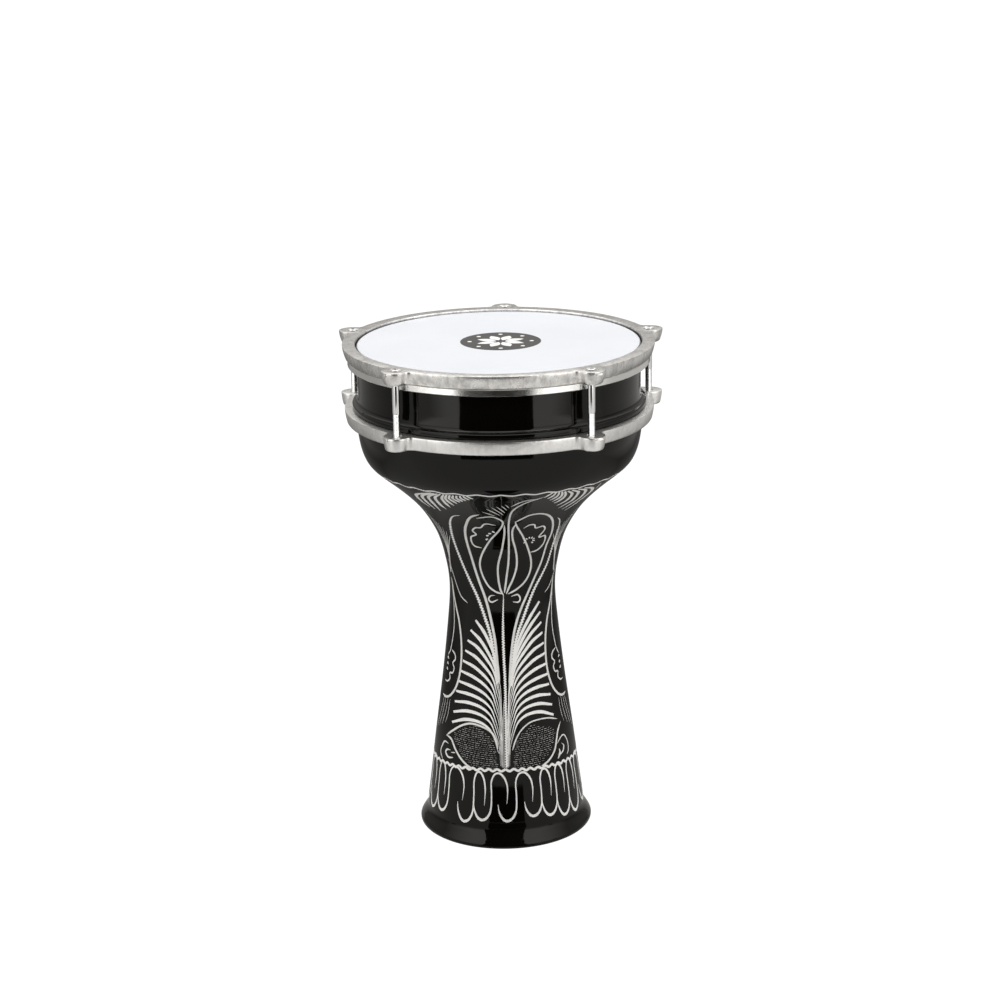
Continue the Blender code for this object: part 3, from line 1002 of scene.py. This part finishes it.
top_low, top_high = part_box("tension_ring")[0][2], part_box("tension_ring")[1][2]
low_low, low_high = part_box("counter_ring")[0][2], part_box("counter_ring")[1][2]
HEAD_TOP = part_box("tension_bolt_1")[1][2]
HEAD_TALL = 5.0 * MM
SEAT = HEAD_TOP - HEAD_TALL - 0.3 * MM
PAST = 3 * MM  # how far a cutter reaches beyond the ring
COUNTERBORE_R, CLEAR_R, TAPPED_R = 4.75 * MM, 2.8 * MM, 2.6 * MM
COUNTERBORE_MOUTH_R, TAPPED_MOUTH_R = 4.95 * MM, 3.1 * MM
NICKS = (3.0, 4.5, 2.6, 7.4, 5.0)  # width at each ear, mm
ring = ring_mesh("upper_ring", "tension_ring", TOP_RING)
top_ring = piece("upper_ring", ring, TOP_METAL, "tension_ring", ["tension_ring"])
ring = ring_mesh("lower_ring", "counter_ring", LOW_RING)
low_ring = piece("lower_ring", ring, LOW_METAL, "shell", ["counter_ring"])
stepped = [
    (0.0, top_high + PAST),
    (COUNTERBORE_MOUTH_R, top_high + PAST),
    (COUNTERBORE_MOUTH_R, top_high - 0.2 * MM),
    (COUNTERBORE_R, top_high - 0.6 * MM),
    (COUNTERBORE_R, SEAT),
    (CLEAR_R, SEAT),
    (CLEAR_R, top_low - PAST),
    (0.0, top_low - PAST),
]
tapped = [
    (0.0, low_high + PAST),
    (TAPPED_MOUTH_R, low_high + PAST),
    (TAPPED_MOUTH_R, low_high - 0.1 * MM),
    (TAPPED_R, low_high - 0.7 * MM),
    (TAPPED_R, low_low - PAST),
    (0.0, low_low - PAST),
]
top_cuts = [plug(stepped, place) for place in EAR_PLACES]
low_cuts = [plug(tapped, place) for place in EAR_PLACES]
for turn, wide in zip(EAR_TURNS, NICKS):
    top_cuts.append(file_nick(TOP_RING, turn, top_high - 1.5 * MM, wide * MM, 2.2 * MM))
    low_cuts.append(file_nick(LOW_RING, turn, low_high - 1.0 * MM, wide * MM, 1.9 * MM))
apply_cuts(top_ring, top_cuts)
apply_cuts(low_ring, low_cuts)

# ------------ screws

HEAD_R = 4.25 * MM
SHANK_R = 2.5 * MM
CREST_R, THREAD_ROOT_R, PITCH = 2.42 * MM, 2.02 * MM, 0.8 * MM
THREAD_LONG = 22.0 * MM
HEX_ACROSS = 4.0 * MM
HEX_DEEP = 2.5 * MM
KNURL_DEEP = 0.10 * MM


def screw_mesh():
    """A socket-head cap screw: knurled head with a rolled rim, plain shank, helical thread."""
    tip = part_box("tension_bolt_1")[0][2] - HEAD_TOP
    step = tip + THREAD_LONG
    rim = 0.7 * MM
    bm = bmesh.new()
    sides = 48
    hexagon = HEX_ACROSS / math.sqrt(3.0)
    rings = []

    def hex_r(t):
        return HEX_ACROSS / 2 / math.cos((t + math.pi / 6) % (math.pi / 3) - math.pi / 6)

    def add_ring(radius, z):
        loop = []
        for k in range(sides):
            t = 2 * math.pi * k / sides
            r = radius(t) if callable(radius) else radius
            loop.append(bm.verts.new((*polar(r, t), z)))
        rings.append(loop)

    add_ring(0.05 * MM, -HEX_DEEP - 0.5 * MM)
    add_ring(lambda t: hex_r(t) * 0.96, -HEX_DEEP)
    add_ring(hex_r, -0.45 * MM)
    add_ring(hexagon + 0.25 * MM, -0.08 * MM)
    add_ring(hexagon + 0.55 * MM, 0.0)
    add_ring(HEAD_R - rim - 0.12 * MM, 0.0)
    for r, z in arc((HEAD_R - rim, -rim), rim, 90, 0, 5):
        add_ring(r, z)
    knurl_top, knurl_low = -rim - 0.25 * MM, -HEAD_TALL + 0.5 * MM
    for z in (knurl_top, knurl_low):
        add_ring(lambda t: HEAD_R - KNURL_DEEP * (1 + math.cos(24 * t)) / 2, z)
    add_ring(HEAD_R - 0.15 * MM, -HEAD_TALL + 0.2 * MM)
    add_ring(HEAD_R - 0.35 * MM, -HEAD_TALL)
    add_ring(SHANK_R + 0.3 * MM, -HEAD_TALL)
    add_ring(SHANK_R, -HEAD_TALL - 0.3 * MM)
    add_ring(SHANK_R, step + 0.3 * MM)
    add_ring(CREST_R, step)
    turns_long = (step - tip) / PITCH
    per_turn = 4
    for i in range(1, int(turns_long * per_turn)):
        z = step - i * PITCH / per_turn
        fade = min(1.0, i / 3.0, (turns_long * per_turn - i) / 4.0)

        def radius(t, z=z, fade=fade):
            phase = (z / PITCH + t / (2 * math.pi)) % 1
            return CREST_R - (CREST_R - THREAD_ROOT_R) * fade * (1 - abs(2 * phase - 1))

        add_ring(radius, z)
    add_ring(THREAD_ROOT_R - 0.1 * MM, tip)
    for near, far in zip(rings, rings[1:]):
        bridge(bm, near, far)
    bm.faces.new(rings[0][::-1])
    bm.faces.new(rings[-1])
    return shaded(mesh_from(bm, "cap_screw"), 30.0)


master = screw_mesh()
for k, place in enumerate(EAR_PLACES, start=1):
    mesh = master.copy()
    spin = Matrix.Rotation(math.radians(37.0 * k), 4, "Z")
    mesh.transform(Matrix.Translation(place + Vector((0.0, 0.0, HEAD_TOP))) @ spin)
    piece(f"cap_screw_{k}", mesh, ZINC, f"tension_bolt_{k}", [f"tension_bolt_{k}"])
bpy.data.meshes.remove(master)

# ------------ camera

camera_data = bpy.data.cameras.new("camera")
camera_data.lens = 88.9
camera_data.sensor_width = 36.0
camera = linked("camera", camera_data)
bpy.context.scene.camera = camera
ELEVATION = math.radians(16.62)
ROLL = math.radians(-0.95)
DISTANCE = 1.7015
AIM = Vector((-0.0007, 0.0, 0.2349))
forward = Vector((0.0, math.cos(ELEVATION), -math.sin(ELEVATION)))
level = Vector((1.0, 0.0, 0.0))
upward = level.cross(forward)
right = math.cos(ROLL) * level + math.sin(ROLL) * upward
top = -math.sin(ROLL) * level + math.cos(ROLL) * upward
basis = Matrix((right, top, -forward)).transposed().to_4x4()
camera.matrix_world = Matrix.Translation(AIM - forward * DISTANCE) @ basis

# ------------ studio

BLACK = (0.0, 0.0, 0.0)
WARM = (1.0, 0.98, 0.95)


def warm(level):
    return tuple(level * part for part in WARM)


FLOOR_HALF = 6.0
FLOOR_DEPTH = (-1.2, 0.6)  # the y range over which the floor's light changes
FLOOR_FRONT, FLOOR_FAR, FLOOR_MIDDLE = warm(1.6), warm(0.68), warm(0.6)
FLOOR_NEAR, FLOOR_BACK = warm(0.55), warm(0.13)
FLANKS_AT = 0.8  # and how far to either side it changes
STAGE_LOW = 0.001  # cards stand this far off the floor
GAP_CARD = (1.2, (STAGE_LOW, 0.13))  # distance and heights
CLOTH_Z, CLOTH_NEAR, CLOTH_REACH = 0.0006, 0.064, 0.15
STRIP_LOW, STRIP_HIGH = (0.85, 1.62), (0.70, 1.75)  # distance and height of a strip's long edges
SIDE_LEVEL, FRONT_EXTRA, TOP_LEVEL, ZENITH_DROP = 0.42, 1.25, 1.72, -1.2  # the tent's strengths


def stage_mesh(name, corners, faces, finish, seen=True):
    mesh = bpy.data.meshes.new(name)
    mesh.from_pydata(corners, [], faces)
    mesh.materials.append(finish)
    obj = linked(name, mesh)
    obj.visible_camera = seen


def round_drum(azimuth, distance, height):
    """A point of the stage; azimuth 0 is towards the camera, positive to its right."""
    t = math.radians(azimuth)
    return distance * math.sin(t), -distance * math.cos(t), height


def floor_finish():
    """White to the camera. In the drum's reflections it brightens towards the front and the flanks."""
    f = Finish("studio_floor", Base_Color=BLACK, Roughness=1.0, Specular_IOR_Level=0.0, Emission_Strength=1.0)
    parts = f.node("SeparateXYZ")
    f.link(f.place, parts.inputs[0])
    depth = f.between(parts.outputs["Y"], *FLOOR_DEPTH)
    front = ((0.1, FLOOR_FRONT), (0.24, FLOOR_FAR), (0.46, FLOOR_MIDDLE))
    sweep = f.ramp(depth, *front, (0.6, FLOOR_NEAR), (0.8, FLOOR_BACK))
    across = f.between(parts.outputs["X"], -FLANKS_AT, FLANKS_AT)
    flanks = f.ramp(across, (0.08, warm(0.3)), (0.24, BLACK), (0.78, BLACK), (0.92, warm(0.45)))
    sweep = f.mixed(1.0, sweep, flanks, "LIGHTEN")
    rays = f.node("LightPath")
    f.set("Emission Color", f.mixed(rays.outputs["Is Camera Ray"], sweep, (1.0, 1.0, 1.0)))
    return f.material


def card_finish():
    f = Finish("dark_card", Roughness=1.0, Specular_IOR_Level=0.0)
    f.set("Base Color", f.ramp(f.noise(8.0), (0.3, 0.008), (0.7, 0.012)))
    return f.material


def card(name, start, end, distance, heights):
    """A dark card that curves round the drum from one azimuth to another."""
    steps = 8
    corners, faces = [], []
    for i in range(steps + 1):
        corners += [round_drum(lerp(start, end, i / steps), distance, height) for height in heights]
    for i in range(steps):
        faces.append((2 * i, 2 * i + 2, 2 * i + 3, 2 * i + 1))
    stage_mesh(name, corners, faces, CARD, seen=False)


CARD = card_finish()
floor = [(x * FLOOR_HALF, y * FLOOR_HALF, 0.0) for x, y in ((-1, -1), (1, -1), (1, 1), (-1, 1))]
stage_mesh("studio_floor", floor, [(0, 1, 2, 3)], floor_finish())
card("dark_card_front", -30.0, 25.0, 0.76, (STAGE_LOW, 0.94))
card("dark_card_foot", -20.0, 22.0, 0.152, (STAGE_LOW, 0.028))
cloth = [round_drum(azimuth, CLOTH_NEAR, CLOTH_Z) for azimuth in (-20, 0, 22)]
cloth += [round_drum(azimuth, CLOTH_REACH, CLOTH_Z) for azimuth in (22, 11, 0, -10, -20)]
stage_mesh("dark_cloth", cloth, [tuple(range(len(cloth)))], CARD, seen=False)
card("dark_gap_left", -81.0, -74.0, *GAP_CARD)
card("dark_gap_right", 61.0, 67.0, *GAP_CARD)


def strip_finish():
    f = Finish("strip_light", Base_Color=BLACK, Roughness=1.0, Emission_Strength=5.0)
    f.set("Emission Color", f.ramp(f.noise(2.0), (0.3, warm(0.97)), (0.7, warm(1.0))))
    return f.material


STRIP = strip_finish()
for name, start, end in (("left", -72.0, -34.0), ("middle", -24.0, 20.0), ("right", 30.0, 64.0)):
    corners = [round_drum(start, *STRIP_LOW), round_drum(end, *STRIP_LOW)]
    corners += [round_drum(end, *STRIP_HIGH), round_drum(start, *STRIP_HIGH)]
    stage_mesh(f"strip_{name}", corners, [(0, 1, 2, 3)], STRIP, seen=False)

scene = bpy.context.scene
world = bpy.data.worlds.new("studio")
scene.world = world
world.use_nodes = True
tree = world.node_tree
tree.nodes.clear()


def world_node(kind, **settings):
    made = tree.nodes.new("ShaderNode" + kind)
    for key, value in settings.items():
        setattr(made, key, value)
    return made


def math_node(operation, *values, clamp=False):
    made = world_node("Math", operation=operation, use_clamp=clamp)
    for socket, value in zip(made.inputs, values):
        if isinstance(value, float):
            socket.default_value = value
        else:
            tree.links.new(value, socket)
    return made.outputs[0]


def line_node(value, slope, start):
    """start + slope * value, held between 0 and 1."""
    return math_node("MULTIPLY_ADD", value, slope, start, clamp=True)


direction = world_node("TexCoord").outputs["Generated"]
parts = world_node("SeparateXYZ")
tree.links.new(direction, parts.inputs[0])
ahead = line_node(parts.outputs["Y"], -1.6, 0.1)  # 1 in front, 0.1 beside, 0 behind the drum
overhead = line_node(parts.outputs["Z"], 2.6, -1.1)
side_light = math_node("MULTIPLY_ADD", ahead, FRONT_EXTRA, SIDE_LEVEL)
side_light = math_node("MULTIPLY", side_light, line_node(parts.outputs["Z"], 2.0, 0.45))
rest = math_node("SUBTRACT", TOP_LEVEL, side_light)
dome = math_node("MULTIPLY_ADD", overhead, rest, side_light)
zenith = line_node(parts.outputs["Z"], 5.0, -4.25)  # the tent's open top
tent = math_node("MULTIPLY_ADD", zenith, ZENITH_DROP, dome)
rays = world_node("LightPath")
background = world_node("Background")
white = world_node("Background")
mix = world_node("MixShader")
output = world_node("OutputWorld")
background.inputs["Color"].default_value = (*WARM, 1.0)
white.inputs["Color"].default_value = (1.0, 1.0, 1.0, 1.0)
tree.links.new(tent, background.inputs["Strength"])
tree.links.new(rays.outputs["Is Camera Ray"], mix.inputs["Fac"])
tree.links.new(background.outputs[0], mix.inputs[1])
tree.links.new(white.outputs[0], mix.inputs[2])
tree.links.new(mix.outputs[0], output.inputs["Surface"])

scene.view_settings.view_transform = "Standard"
scene.view_settings.look = "None"
scene.view_settings.exposure = 0.12
